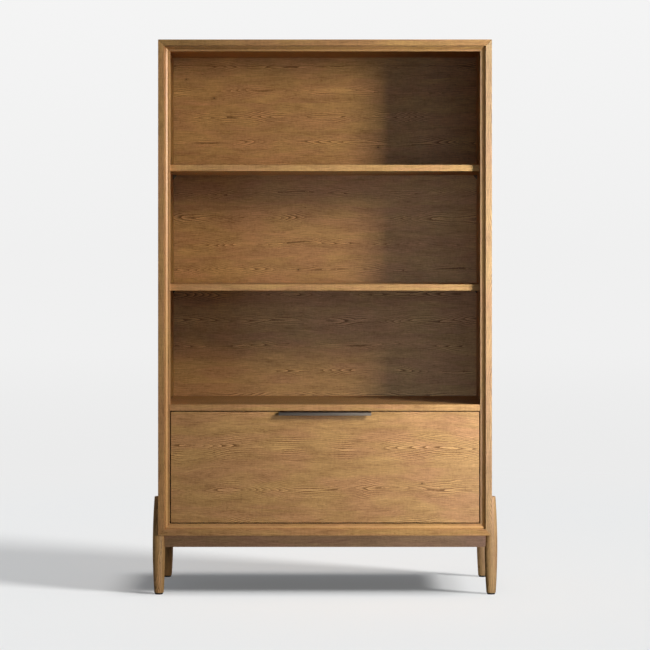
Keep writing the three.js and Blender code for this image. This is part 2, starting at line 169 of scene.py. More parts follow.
def copy_of(piece, name, shift=(0, 0, 0), mirror_x=False):
    """A copy with its own mesh, moved, or mirrored to the other side."""
    twin = bpy.data.objects.new(name, piece.data.copy())
    bpy.context.scene.collection.objects.link(twin)
    if mirror_x:
        twin.data.transform(Matrix.Scale(-1, 4, (1, 0, 0)))
        twin.data.flip_normals()
    twin.data.transform(Matrix.Translation(Vector(shift) * MM))
    return twin


def box_of(node):
    """A node's lowest and highest corners and its middle, in millimetres."""
    low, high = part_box(node)
    low, high = low / MM, high / MM
    return low, high, (low + high) / 2


def finish_with(piece, material, slot, body, *nodes):
    piece.data.materials.clear()
    piece.data.materials.append(material)
    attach(piece, body)
    if nodes:
        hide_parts(*nodes)
    return piece


# Recipes: the nodes of a finish

class Nodes:
    """A tree of nodes: each call adds a node and gives back its result."""

    def __init__(self, tree):
        self.tree = tree
        tree.nodes.clear()

    def add(self, kind, **settings):
        node = self.tree.nodes.new(kind)
        for key, value in settings.items():
            setattr(node, key, value)
        return node

    def put(self, socket, value):
        if isinstance(value, bpy.types.NodeSocket):
            self.tree.links.new(value, socket)
        else:
            socket.default_value = value

    def put_all(self, node, values):
        for socket, value in zip(node.inputs, values):
            self.put(socket, value)
        return node.outputs[0]

    def calc(self, operation, *values, clamp=False):
        return self.put_all(self.add("ShaderNodeMath", operation=operation, use_clamp=clamp), values)

    def times(self, a, b):
        return self.calc("MULTIPLY", a, b)

    def plus(self, a, b):
        return self.calc("ADD", a, b)

    def less(self, a, b):
        return self.calc("SUBTRACT", a, b)

    def spot(self, x=0.0, y=0.0, z=0.0):
        return self.put_all(self.add("ShaderNodeCombineXYZ"), (x, y, z))

    def noise(self, place, detail=2.0, roughness=0.5, scale=1.0):
        node = self.add("ShaderNodeTexNoise")
        self.put(node.inputs["Vector"], place)
        node.inputs["Scale"].default_value = scale
        node.inputs["Detail"].default_value = detail
        node.inputs["Roughness"].default_value = roughness
        return node.outputs["Fac"]

    def ease(self, value, low, high, to_low=0.0, to_high=1.0):
        node = self.add("ShaderNodeMapRange", interpolation_type="SMOOTHSTEP")
        return self.put_all(node, (value, low, high, to_low, to_high))

    def blend(self, share, first, second):
        node = self.add("ShaderNodeMix", data_type="RGBA", clamp_factor=True)
        self.put(node.inputs["Factor"], share)
        self.put(node.inputs[6], first)
        self.put(node.inputs[7], second)
        return node.outputs[2]

    def cover(self, share, under, over):
        return self.put_all(self.add("ShaderNodeMixShader"), (share, under, over))

    def attribute(self, name):
        return self.add("ShaderNodeAttribute", attribute_name=name)

    def object_place(self):
        return self.add("ShaderNodeTexCoord").outputs["Object"]

    def seen_straight(self):
        """1 where the camera sees it, also through something clear, and 0 where it only gives light."""
        rays = self.add("ShaderNodeLightPath")
        return self.calc("MAXIMUM", rays.outputs["Is Camera Ray"], rays.outputs["Is Transmission Ray"])


class Recipe(Nodes):
    """A material being mixed, on one skin."""

    def __init__(self, name):
        self.material = bpy.data.materials.new(name)
        self.material.use_nodes = True
        super().__init__(self.material.node_tree)
        self.skin = self.add("ShaderNodeBsdfPrincipled")
        self.out = self.add("ShaderNodeOutputMaterial")
        self.put(self.out.inputs["Surface"], self.skin.outputs["BSDF"])

    def bump(self, height, strength, distance):
        node = self.add("ShaderNodeBump")
        self.put(node.inputs["Height"], height)
        node.inputs["Strength"].default_value = strength
        node.inputs["Distance"].default_value = distance
        self.put(self.skin.inputs["Normal"], node.outputs[0])

    def set_skin(self, **values):
        for name, value in values.items():
            self.put(self.skin.inputs[name.replace("_", " ")], value)


def rgb(red, green, blue):
    """A colour as it is seen, from 0 to 255, turned into light."""
    light = []
    for part in (red, green, blue):
        part /= 255
        light.append(part / 12.92 if part <= 0.04045 else ((part + 0.055) / 1.055) ** 2.4)
    return (*light, 1.0)


def scaled(colour, share):
    return tuple(min(1.0, part * share) for part in colour[:3]) + (1.0,)


CUT_APART = 977.0  # how far along the wood one cut lies from the next, in millimetres
YEAR_WIDTH = 5.0  # between two years' lines beside the heart, in millimetres
ARROW_CLIMB = 27.0  # how many years the arrowheads run through as the heart rises and falls
SAWN_SLANT = 0.87  # how far a leaf leans as it goes into the board
KNOT_CORE = rgb(72, 46, 24)


def wood(name, light, dark, red, leaf, figure=1.0, sheen=0.46, spread=1.0, knots=(), dark_lines=()):
    """Sawn wood. The grain attribute runs along the fibres, across the face and into the board, in metres.
    leaf is the width of a board or veneer leaf in millimetres, figure the strength of its marks, and spread
    the breadth of its arrowheads. Knots are given by their place along and across the grain, the second from
    the heart that lay_grain was given, and their size. Thin dark lines along the grain are given by their
    place across it."""
    mix = Recipe(name)
    place = mix.add("ShaderNodeVectorMath", operation="SCALE")
    mix.put(place.inputs[0], mix.attribute("grain").outputs["Vector"])
    place.inputs["Scale"].default_value = 1 / MM
    parts = mix.add("ShaderNodeSeparateXYZ")
    mix.put(parts.inputs[0], place.outputs[0])
    true_along, across, into = parts.outputs
    seed = mix.attribute("cut").outputs["Fac"]
    along = mix.plus(true_along, mix.times(seed, CUT_APART))

    def patches(length, width):
        """Noise of a length and a width in millimetres, which keeps to the face."""
        return mix.noise(mix.spot(mix.times(along, 1 / length), mix.times(across, 1 / width), seed))

    def streaks(length, width, shift=0.0, **settings):
        """Noise drawn out along the bent fibres, a new one in each leaf."""
        spot = mix.spot(mix.times(along, 1 / length), mix.times(bent, 1 / width), mix.plus(leaf_seed, shift))
        return mix.noise(spot, **settings)

    def about_zero(value):
        return mix.less(value, 0.5)

    # The fibres wander, and each leaf has its own heart
    sway = mix.times(about_zero(patches(260, 120)), 36.0)
    ripple = mix.times(about_zero(patches(46, 18)), 5.0)
    bent = mix.plus(mix.plus(across, mix.plus(sway, ripple)), mix.times(into, SAWN_SLANT))
    leaf_index = mix.calc("FLOOR", mix.plus(mix.times(bent, 1 / leaf), 0.5))
    off_heart = mix.less(bent, mix.times(leaf_index, leaf))
    leaf_seed = mix.plus(mix.times(leaf_index, 7.31), mix.times(seed, 3.7))

    # At the heart of a leaf the years run out in arrowheads, and beside it they lie straight
    from_heart = mix.calc("SQRT", mix.plus(mix.times(off_heart, off_heart), 5.0))
    narrow, broad = leaf * 0.10 * spread, leaf * 0.15 * spread
    breadth = mix.ease(mix.noise(mix.spot(leaf_seed, 3.3)), 0.38, 0.62, narrow, broad)
    share = mix.calc("DIVIDE", off_heart, breadth)
    climb = mix.noise(mix.spot(mix.times(along, 1 / 400), leaf_seed), detail=1.0)
    jag = mix.noise(mix.spot(mix.times(along, 1 / 10), mix.times(bent, 1 / 5), seed))
    years = mix.noise(mix.spot(mix.times(from_heart, 1 / 13), leaf_seed))
    phase = mix.plus(mix.times(from_heart, 1 / YEAR_WIDTH), mix.times(years, 1.6))
    phase = mix.plus(phase, mix.times(climb, ARROW_CLIMB))
    phase = mix.plus(phase, mix.times(jag, 0.45))
    year = mix.calc("FRACT", phase)
    early = mix.calc("POWER", mix.less(1.0, year), 2.0)
    late = mix.ease(year, 0.7, 0.95)
    shown = mix.noise(mix.spot(mix.times(along, 1 / 120), mix.plus(leaf_seed, 11.0)), detail=1.0)
    heart = mix.times(mix.ease(mix.calc("ABSOLUTE", share), 0.6, 2.1, 1.0, 0.0),
                      mix.ease(shown, 0.42, 0.6, 0.15, 1.0))
    lines = mix.less(mix.less(early, 0.28), mix.times(late, 0.35))
    lines = mix.times(lines, mix.plus(mix.times(heart, 1.6), 0.15))

    # Streaks, short dashes, pores, fine fibres, and clouds of colour
    bands = streaks(30.0, 2.6, roughness=0.62)
    dashes = mix.ease(streaks(15.0, 1.9, 5.0, roughness=0.6), 0.6, 0.74)
    dashes = mix.times(dashes, mix.ease(streaks(70.0, 20.0, 9.0, detail=1.0), 0.42, 0.6, 0.25, 1.0))
    pores = mix.ease(streaks(6.0, 0.6), 0.54, 0.68)
    fibres = streaks(44.0, 1.2, 17.0, detail=3.0, roughness=0.62)
    cloud = streaks(110.0, 24.0, 23.0, detail=3.0)
    warm = streaks(150.0, 42.0, 40.0, detail=1.0)
    glint = patches(6, 15)

    # How dark it gets: each mark and its strength. Streaks and fibres fade where the arrowheads show
    calm = mix.calc("MULTIPLY_ADD", heart, -0.6, 1.0)
    deep = 0.44
    for mark, strength in (
            (lines, 0.62),
            (mix.times(about_zero(bands), calm), 0.76),
            (dashes, 0.45),
            (pores, 0.2),
            (mix.times(about_zero(fibres), calm), 0.8),
            (about_zero(cloud), 0.7),
            (about_zero(glint), 0.35)):
        deep = mix.plus(deep, mix.times(mark, strength * figure))
    colour = mix.blend(mix.ease(warm, 0.35, 0.65), light, red)
    colour = mix.blend(mix.calc("MAXIMUM", deep, 0.0, clamp=True), colour, dark)

    for knot_along, knot_across, size in knots:
        reach_x = mix.times(mix.less(true_along, knot_along), 0.7)
        reach_y = mix.less(across, knot_across)
        reach = mix.calc("SQRT", mix.plus(mix.times(reach_x, reach_x), mix.times(reach_y, reach_y)))
        reach = mix.plus(reach, mix.times(about_zero(jag), size * 0.5))
        colour = mix.blend(mix.ease(reach, size, size * 3.2, 0.35, 0.0), colour, dark)
        colour = mix.blend(mix.ease(reach, size * 0.3, size, 0.85, 0.0), colour, KNOT_CORE)
    # Thin dark lines along the grain, darkest at the given places across it
    for dark_line in dark_lines:
        beside = mix.calc("ABSOLUTE", mix.less(across, dark_line))
        colour = mix.blend(mix.ease(beside, 0.5, 1.8, 0.5, 0.0), colour, dark)
    rubbed = mix.times(mix.attribute("rubbed").outputs["Fac"], mix.ease(fibres, 0.3, 0.7, 0.1, 0.45))
    colour = mix.blend(rubbed, colour, light)

    rough = mix.plus(mix.times(pores, 0.16), mix.ease(fibres, 0.25, 0.75, sheen, sheen + 0.12))
    mix.set_skin(Base_Color=colour, IOR=1.45, Roughness=rough)
    height = mix.less(mix.times(fibres, 0.35), mix.plus(mix.times(pores, 0.7), mix.times(early, 0.12)))
    mix.bump(height, strength=0.22, distance=0.0004)
    return mix.material


BRUSH_FINE, BRUSH_LONG = 1400.0, 30.0  # how many lines of the brush lie in a metre, across and along them


def metal(name, colour, roughness, brushed_along=0, streak=0.25, metallic=1.0, wear=None):
    """Brushed, plated or painted metal. brushed_along is the axis that its fine lines follow."""
    mix = Recipe(name)
    place = mix.object_place()
    stretch = [BRUSH_FINE] * 3
    stretch[brushed_along] = BRUSH_LONG
    mapping = mix.add("ShaderNodeMapping")
    mix.put(mapping.inputs["Vector"], place)
    mapping.inputs["Scale"].default_value = stretch
    lines = mix.noise(mapping.outputs[0], detail=3.0, roughness=0.6)
    cloud = mix.noise(place, detail=3.0, scale=38.0)
    darker = scaled(colour, 0.72)
    shade = mix.blend(mix.ease(cloud, 0.3, 0.7, 0.0, 0.5), colour, darker)
    shade = mix.blend(mix.times(mix.ease(lines, 0.3, 0.7), streak), shade, darker)
    if wear:
        rubbed = mix.times(mix.attribute("rubbed").outputs["Fac"], mix.ease(cloud, 0.35, 0.6, 0.2, 0.9))
        shade = mix.blend(rubbed, shade, wear)
    mix.skin.inputs["Metallic"].default_value = metallic
    rough = mix.ease(lines, 0.3, 0.7, roughness - 0.05, roughness + 0.07)
    mix.set_skin(Base_Color=shade, Roughness=mix.plus(rough, mix.times(mix.less(cloud, 0.5), 0.12)))
    mix.bump(lines, strength=0.10, distance=0.0001)
    return mix.material


def plastic(name, colour, roughness):
    """Moulded plastic with a fine leathery skin."""
    mix = Recipe(name)
    place = mix.object_place()
    skin_grain = mix.noise(place, detail=3.0, scale=2200.0)
    dust = mix.noise(place, detail=4.0, scale=160.0)
    worn = scaled(colour, 1.9)
    mix.set_skin(Base_Color=mix.blend(mix.ease(dust, 0.45, 0.75, 0.0, 0.4), colour, worn),
                 Roughness=mix.ease(dust, 0.3, 0.7, roughness - 0.06, roughness + 0.08))
    mix.bump(skin_grain, strength=0.2, distance=0.0002)
    return mix.material


OAK = (rgb(214, 166, 103), rgb(124, 84, 42), rgb(213, 158, 105))
PALE = (rgb(214, 188, 146), rgb(180, 148, 106), rgb(210, 178, 136))
BACK_KNOTS = ((-340.0, 55.0, 3.2), (-426.0, 113.0, 2.4), (163.0, -96.0, 3.2), (-82.0, -472.0, 3.0))

# The back panel's wood has one thin dark line along its grain, 154 mm above the heart given to lay_grain
back_oak = wood("back_oak", *OAK, leaf=78.0, knots=BACK_KNOTS, dark_lines=(154.0,))
front_oak = wood("front_oak", *OAK, leaf=120.0, spread=1.4, knots=((281.0, 60.0, 2.6),))
board_oak = wood("board_oak", *OAK, leaf=96.0)
frame_oak = wood("frame_oak", *OAK, leaf=64.0, figure=0.9)
leg_oak = wood("leg_oak", *OAK, leaf=52.0)
pale_wood = wood("pale_wood", *PALE, leaf=88.0, figure=0.7, sheen=0.5)
gunmetal = metal("gunmetal", rgb(146, 139, 131), 0.34, brushed_along=0, wear=rgb(176, 170, 162))
zinc = metal("zinc", rgb(186, 188, 192), 0.3, brushed_along=1)
bronze = metal("bronze", rgb(96, 84, 70), 0.42, brushed_along=2, streak=0.15)
black_steel = metal("black_steel", rgb(60, 58, 56), 0.42, brushed_along=0, metallic=0.8)
glide_black = plastic("glide_black", rgb(34, 30, 27), 0.62)


LEVEL = 0.9995  # how squarely a face looks along an axis to count as sawn flat, and not rubbed


def lay_grain(piece, axes, cut, heart=0.0):
    """Stores where each point lies in the wood: along, across and into it. axes names the three in that
    order, cut is the board's own number, and heart is the place across it of a leaf's middle."""
    mesh = piece.data
    order = ["xyz".index(letter) for letter in axes]
    points = []
    for vertex in mesh.vertices:
        points += [vertex.co[order[0]], vertex.co[order[1]] - heart * MM, vertex.co[order[2]]]
    mesh.attributes.new("grain", "FLOAT_VECTOR", "POINT").data.foreach_set("vector", points)
    mesh.attributes.new("cut", "FLOAT", "POINT").data.foreach_set("value", [cut] * len(mesh.vertices))
    round_faces = [max(abs(part) for part in face.normal) <= LEVEL for face in mesh.polygons]
    mesh.polygons.foreach_set("use_smooth", round_faces)
    rubbed = mesh.attributes.new("rubbed", "FLOAT", "FACE")
    rubbed.data.foreach_set("value", [float(face) for face in round_faces])


def eased_board(node, material, axes, cut, slot="case_wood", edge=0.6, heart=0.0):
    """A board as the frame has it, with its sharp edges rubbed round."""
    piece = from_frame(node, node + "_eased", sharper_than=28, edge=edge)
    put_down(piece, smooth=20)
    lay_grain(piece, axes, cut, heart)
    return finish_with(piece, material, slot, frame["nodes"][node]["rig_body"], node)


# Boards: the node, its wood, the way its grain runs, its cut, its rubbed edge and its heart
for node, material, axes, cut, edge, heart in (
        ("top_panel", board_oak, "xyz", 1.0, 0.6, 0.0),
        ("bottom_panel", board_oak, "xyz", 2.0, 0.6, 0.0),
        ("left_side_panel", board_oak, "zyx", 3.0, 0.5, 0.0),
        ("right_side_panel", board_oak, "zyx", 4.0, 0.5, 40.0),
        ("face_frame_top_rail", frame_oak, "xzy", 5.0, 0.35, 1575.0),
        ("face_frame_bottom_rail", frame_oak, "xzy", 6.0, 0.35, 190.0),
        ("face_frame_left_stile", frame_oak, "zxy", 7.0, 0.35, -450.0),
        ("face_frame_right_stile", frame_oak, "zxy", 8.0, 0.35, 450.0),
        ("back_panel", back_oak, "xzy", 9.0, 0.3, 1411.0),
        ("fixed_shelf", board_oak, "xyz", 10.0, 0.6, 45.0),
        ("middle_shelf", board_oak, "xyz", 11.0, 0.6, -12.0),
        ("upper_shelf", board_oak, "xyz", 12.0, 0.6, 3.0),
        ("front_apron", frame_oak, "xzy", 13.0, 0.6, 162.0),
        ("rear_apron", frame_oak, "xzy", 14.0, 0.6, 150.0),
        ("left_base_rail", frame_oak, "yzx", 15.0, 0.6, 150.0),
        ("right_base_rail", frame_oak, "yzx", 16.0, 0.6, 150.0),
        ("drawer_front", front_oak, "xzy", 19.0, 0.5, 264.0)):
    eased_board(node, material, axes, cut, edge=edge, heart=heart)

for node, axes, cut in (
        ("left_slide_spacer", "yzx", 17.0),
        ("right_slide_spacer", "yzx", 18.0),
        ("drawer_left_side", "yzx", 21.0),
        ("drawer_right_side", "yzx", 22.0),
        ("drawer_sub_front", "xzy", 23.0),
        ("drawer_back", "xzy", 24.0),
        ("drawer_floor", "xyz", 25.0)):
    eased_board(node, pale_wood, axes, cut, slot="drawer_wood", edge=0.7)


def corner_set(first, nodes, depth):
    """The front right piece and its three copies at the other legs, by node. depth is from front to rear."""

    def at(corner, **place):
        return copy_of(first, first.name.replace("front_right", corner), **place)

    return {
        nodes + "front_right": first,
        nodes + "front_left": at("front_left", mirror_x=True),
        nodes + "rear_right": at("rear_right", shift=(0, depth, 0)),
        nodes + "rear_left": at("rear_left", shift=(0, depth, 0), mirror_x=True),
    }


# Legs: turned, then halved round the side of the case
LEG_X, LEG_Y = 482.5, 165.0
LEG_FOOT, LEG_BELLY, LEG_TOP = 4.3, 137.0, 284.0
FOOT_RADIUS, BELLY_RADIUS, TOP_RADIUS = 13.5, 18.24, 12.75
BLANK_RADIUS = 10.0
LEG_RINGS = 24
FOOT_EDGE = 1.2
NOTCH_FLOOR, NOTCH_FACE = 173.4, 482.8
NOTCH_REACH, NOTCH_OVER = 30.0, 5.0  # how far the notch's block goes round the leg, and over its top


def leg_radius(height):
    end_radius, end = (FOOT_RADIUS, LEG_FOOT) if height < LEG_BELLY else (TOP_RADIUS, LEG_TOP)
    share = (height - LEG_BELLY) / (end - LEG_BELLY)
    return BELLY_RADIUS - (BELLY_RADIUS - end_radius) * share * share


def cut_away(piece, low, high):
    """Takes a block out of a piece, between two corners."""
    cutter = new_block("cutter", low, high)
    bpy.ops.object.mode_set(mode="OBJECT")
    clear_bench()
    bpy.context.view_layer.objects.active = piece
    piece.select_set(True)
    notch = piece.modifiers.new("notch", "BOOLEAN")
    notch.operation = "DIFFERENCE"
    notch.solver = "EXACT"
    notch.object = cutter
    bpy.ops.object.modifier_apply(modifier=notch.name)
    bpy.data.objects.remove(cutter)


def turned_leg(name):
    """The front right leg, turned by drawing each ring to its size, then notched for the case."""
    rise = LEG_TOP - LEG_FOOT
    leg = new_round(name, (LEG_X, -LEG_Y, LEG_FOOT + rise / 2), BLANK_RADIUS, rise, sides=56)
    heights = [LEG_FOOT + rise * step / LEG_RINGS for step in range(LEG_RINGS + 1)]
    for height in heights[1:-1]:
        bpy.ops.mesh.select_all(action="SELECT")
        bpy.ops.mesh.bisect(plane_co=(0, 0, height * MM), plane_no=(0, 0, 1))
    bpy.ops.mesh.select_mode(type="VERT")
    for height in heights:
        mesh = bmesh.from_edit_mesh(leg.data)
        for vertex in mesh.verts:
            vertex.select = abs(vertex.co.z - height * MM) < TOUCHING
        mesh.select_flush_mode()
        bmesh.update_edit_mesh(leg.data)
        size = leg_radius(height) / BLANK_RADIUS
        bpy.ops.transform.resize(value=(size, size, 1), center_override=Vector((LEG_X, -LEG_Y, height)) * MM)
    pick_sharp_edges(60)
    round_edges(FOOT_EDGE, 3)
    put_down(leg)
    cut_away(leg, (LEG_X - NOTCH_REACH, -LEG_Y - NOTCH_REACH, NOTCH_FLOOR),
             (NOTCH_FACE, -LEG_Y + NOTCH_REACH, LEG_TOP + NOTCH_OVER))
    take_up(leg)
    return put_down(leg, smooth=34)


legs = corner_set(turned_leg("leg_front_right_turned"), "leg_", 2 * LEG_Y)
for cut, (node, leg) in enumerate(legs.items(), 31):
    lay_grain(leg, "zxy", float(cut), heart=480.0 if "right" in node else -480.0)
    finish_with(leg, leg_oak, "case_wood", "case", node)


def glide(name):
    """A moulded disc with a rounded rim, a ring under it and a nail, under the front right leg."""
    radius, thickness, rim = 11.5, 4.0, 1.0
    ring_in, ring_width, ring_depth = 3.2, 0.5, 0.6
    nail_in, nail_length, nail_point, nail_tip = 8.5, 12.0, 2.0, 0.15
    disc = new_round(name, (LEG_X, -LEG_Y, thickness / 2), radius, thickness, sides=40)
    pick_sharp_edges(60)
    round_edges(rim, 3)
    bpy.ops.mesh.select_mode(type="FACE")
    pick_side(disc, "-z")
    inset(ring_in)
    inset(ring_width, -ring_depth)
    pick_side(disc, "+z")
    inset(nail_in)
    draw_out(z=nail_length)
    draw_out(z=nail_point)
    bpy.ops.transform.resize(value=(nail_tip, nail_tip, 1))
    return put_down(disc)


for node, disc in corner_set(glide("glide_front_right_moulded"), "glide_", 2 * LEG_Y).items():
    finish_with(disc, glide_black, "glide_plastic", "case", node)


def sink_socket(bolt, middle, radius, depth):
    """Draws the selected round face, which looks to -x, in to a six-sided one, and sinks it."""
    sector = math.pi / 3
    centre_y, centre_z = middle.y * MM, middle.z * MM
    mesh = bmesh.from_edit_mesh(bolt.data)
    for face in mesh.faces:
        if face.select:
            for vertex in face.verts:
                angle = math.atan2(vertex.co.z - centre_z, vertex.co.y - centre_y)
                reach = radius * MM * math.cos(sector / 2) / math.cos(angle % sector - sector / 2)
                vertex.co.y = centre_y + math.cos(angle) * reach
                vertex.co.z = centre_z + math.sin(angle) * reach
    bmesh.update_edit_mesh(bolt.data)
    draw_out(x=depth)


def socket_bolt(name):
    """A domed bolt with a six-sided socket, from inside the case into the front right leg."""
    head, rise, dome = 6.0, 4.0, 1.5
    socket_rim, socket, socket_depth = 1.9, 2.3, 2.6
    shank_in, point, tip = 3.1, 0.6, 0.8
    low, high, middle = box_of("leg_bolt_front_right")
    bolt = new_round(name, (low.x + rise / 2, middle.y, middle.z), head, rise,
                     sides=36, turn=(0, math.pi / 2, 0))
    pick_side(bolt, "-x")
    round_edges(dome, 4, profile=0.55)
    bpy.ops.mesh.select_mode(type="FACE")
    pick_side(bolt, "-x", 0.999)
    inset(socket_rim)
    sink_socket(bolt, middle, socket, socket_depth)
    pick_side(bolt, "+x")
    inset(shank_in)
    draw_out(x=high.x - low.x - rise - point)
    draw_out(x=point)
    bpy.ops.transform.resize(value=(1, tip, tip))
    return put_down(bolt, smooth=28)


bolts_apart = box_of("leg_bolt_rear_right")[0].y - box_of("leg_bolt_front_right")[0].y
for node, bolt in corner_set(socket_bolt("leg_bolt_front_right_socket"), "leg_bolt_", bolts_apart).items():
    finish_with(bolt, zinc, "zinc_steel", "case", node)


def dressed_metal(node, material, edge):
    """A metal piece as the frame has it, with its sharp edges dressed."""
    piece = from_frame(node, node + "_dressed", sharper_than=50, edge=edge, clamp=True)
    put_down(piece, smooth=35)
    return finish_with(piece, material, "zinc_steel", frame["nodes"][node]["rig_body"], node)


for level in ("middle", "upper"):
    for end in ("front", "rear"):
        for side in ("left", "right"):
            dressed_metal(f"{level}_shelf_support_{end}_{side}", bronze, 0.3)
for side in ("left", "right"):
    for member in ("outer", "middle", "inner"):
        dressed_metal(f"{side}_slide_{member}_member", zinc, 0.15)


def edge_pull(name):
    """A folded metal pull: a seat let into the top of the drawer front, a round bend and a lip."""
    sheet, bend, edge = 2.0, 3.0, 0.35
    clear_of_seat = 0.2
    low, high = box_of("drawer_pull")[:2]
    seat_front = low.y + bend
    pull = new_block(name, (low.x, seat_front, high.z - sheet), (high.x, high.y, high.z))
    pick_side(pull, "-y")
    bpy.ops.mesh.spin(steps=7, angle=math.radians(-90), axis=(1, 0, 0),
                      center=Vector((0, seat_front, high.z - bend)) * MM)
    before_seat = (seat_front - clear_of_seat) * MM
    pick_faces(pull, lambda centre, normal: normal.z < -0.99 and centre.y < before_seat)
    draw_out(z=low.z - high.z + bend)
    bpy.ops.mesh.select_all(action="SELECT")
    bpy.ops.mesh.remove_doubles(threshold=0.000005)
    bpy.ops.mesh.normals_make_consistent(inside=False)
    pick_sharp_edges(60)
    round_edges(edge, 3)
    return put_down(pull, smooth=35)


pull = edge_pull("drawer_pull_folded")
lay_grain(pull, "xzy", 41.0)
finish_with(pull, gunmetal, "dark_metal", "drawer", "drawer_pull")


UP, BACK = Vector((0, 0, 1)), Vector((0, 1, 0))
FACING_BACK = (math.pi / 2, 0, 0)
STAR_WAIST, STAR_SLIMNESS = 0.42, 3  # how near the middle it comes between its arms, and how slim they are


def sink_star(screw, middle, radius, depth, up, floor=0.85):
    """Draws the selected round face, which looks up, in to a four-pointed star, and sinks it. floor is how
    wide the star is at its floor, as a share."""
    across = Vector((1, 0, 0))
    side = up.cross(across)
    mesh = bmesh.from_edit_mesh(screw.data)
    for face in mesh.faces:
        if face.select:
            for vertex in face.verts:
                arm = vertex.co - middle * MM
                angle = math.atan2(arm.dot(side), arm.dot(across))
                arms = abs(math.cos(2 * angle)) ** STAR_SLIMNESS
                reach = radius * MM * (STAR_WAIST + (1 - STAR_WAIST) * arms)
                level = up * arm.dot(up)
                point = (across * math.cos(angle) + side * math.sin(angle)) * reach
                vertex.co = middle * MM + level + point
    bmesh.update_edit_mesh(screw.data)
    draw_out(*(-up * depth))
    bpy.ops.transform.resize(value=(floor, floor, 1.0))


def countersunk_screw(node, material, slot):
    """A flat-headed screw with a crossed recess, standing head up where the frame has it."""
    rim, cone, point = 0.6, 1.6, 2.0
    neck, tip, star_depth = 0.5, 0.2, 1.4
    low, high, middle = box_of(node)
    head = (high.x - low.x) / 2
    star_rim, star = head * 0.42, head * 0.6
    screw = new_round(node + "_crossed", (middle.x, middle.y, high.z - rim / 2), head, rim)
    pick_side(screw, "-z")
    draw_out(z=-cone)
    bpy.ops.transform.resize(value=(neck, neck, 1))
    draw_out(z=low.z - high.z + rim + cone + point)
    draw_out(z=-point)
    bpy.ops.transform.resize(value=(tip, tip, 1))
    pick_side(screw, "+z")
    inset(star_rim)
    sink_star(screw, Vector((middle.x, middle.y, high.z)), star, star_depth, UP)
    put_down(screw)
    return finish_with(screw, material, slot, "drawer", node)


for side in ("left", "right"):
    countersunk_screw(f"pull_screw_{side}", black_steel, "dark_metal")


def domed_head(name, middle, radius, rise, dome, sides, star_rim):
    """The head of a screw that looks to the back, with its face picked and ready for a star."""
    screw = new_round(name, middle, radius, rise, sides=sides, turn=FACING_BACK)
    pick_side(screw, "+y")
    round_edges(dome, 4, profile=0.55)
    bpy.ops.mesh.select_mode(type="FACE")
    pick_side(screw, "+y", 0.999)
    inset(star_rim)
    return screw


def pan_screw(node):
    """A pan-headed screw, from inside the drawer through the sub-front."""
    rise, dome, star_depth = 3.0, 1.3, 1.8
    shank, point, tip = 2.25, 3.0, 0.15
    low, high, middle = box_of(node)
    head = (high.x - low.x) / 2
    star_rim, star = head * 0.2, head * 0.5
    screw = domed_head(node + "_panned", (middle.x, high.y - rise / 2, middle.z), head, rise, dome,
                       sides=32, star_rim=star_rim)
    sink_star(screw, Vector((middle.x, high.y, middle.z)), star, star_depth, BACK, floor=1.0)
    pick_side(screw, "-y")
    inset(head - shank)
    draw_out(y=low.y - high.y + rise + point)
    draw_out(y=-point)
    bpy.ops.transform.resize(value=(tip, 1, tip))
    put_down(screw)
    return finish_with(screw, zinc, "zinc_steel", "drawer", node)


for height in ("lower", "upper"):
    for side in ("left", "right"):
        pan_screw(f"drawer_front_screw_{height}_{side}")


def back_screw(name, place):
    """A small domed screw with a crossed recess, through the rim of the back panel, seen from behind."""
    head, rise, dome, shank_in, shank = 3.2, 1.5, 0.9, 1.7, 12.0
    star_rim, star, star_depth = 0.5, 1.6, 0.8
    face = box_of("back_panel")[1].y
    screw = domed_head(name, (place.x, face + rise / 2, place.z), head, rise, dome,
                       sides=28, star_rim=star_rim)
    sink_star(screw, Vector((place.x, face + rise, place.z)), star, star_depth, BACK)
    pick_side(screw, "-y")
    inset(shank_in)
    draw_out(y=-shank)
    return put_down(screw)


# Seven screws up each side of the back panel, and four along its bottom and its top
SIDE_X, SIDE_FIRST, SIDE_STEP = 468.5, 218.0, 224.5
END_LEVELS, END_FIRST, END_STEP = (187.7, 1594.3), -345.0, 230.0
rim_places = [Vector((side * SIDE_X, 0, SIDE_FIRST + SIDE_STEP * step))
              for side in (-1, 1) for step in range(7)]
rim_places += [Vector((END_FIRST + END_STEP * step, 0, level))
               for level in END_LEVELS for step in range(4)]
first_back_screw = back_screw("back_screw_1", rim_places[0])
finish_with(first_back_screw, zinc, "zinc_steel", "case")
for number, place in enumerate(rim_places[1:], 2):
    screw = copy_of(first_back_screw, f"back_screw_{number}", shift=place - rim_places[0])
    finish_with(screw, zinc, "zinc_steel", "case")


# Studio: a round floor that goes over into an even far tone, and the air. Distances are in metres
FLOOR_RADIUS = 40.0
FLOOR_PAINT = (0.82, 0.82, 0.81, 1.0)
FLOOR_UNSEEN = rgb(40, 40, 40)  # what the object's underside and gloss get of it
NEAR_TONE, FAR_TONE, HIGH_TONE = rgb(235, 235, 235), rgb(240, 240, 240), rgb(245, 245, 245)
TONE_COVERS = (1.7, 3.4)  # from where to where the tones cover the paint
TONE_CHANGES = (2.5, 16.0)  # from where to where near goes over into far
HIGH_FROM = 0.14  # the rise of a look at which far has gone over into high
AIR_COLOUR, AIR_STRENGTH = (0.86, 1.0, 1.2, 1.0), 0.11


def round_floor():
    clear_bench()
    bpy.ops.mesh.primitive_circle_add(vertices=128, radius=FLOOR_RADIUS, fill_type="NGON", location=(0, 0, 0))
    floor = bpy.context.object
    floor.name = "studio_floor"
    bpy.ops.object.transform_apply(location=True, rotation=True, scale=True)
    return floor


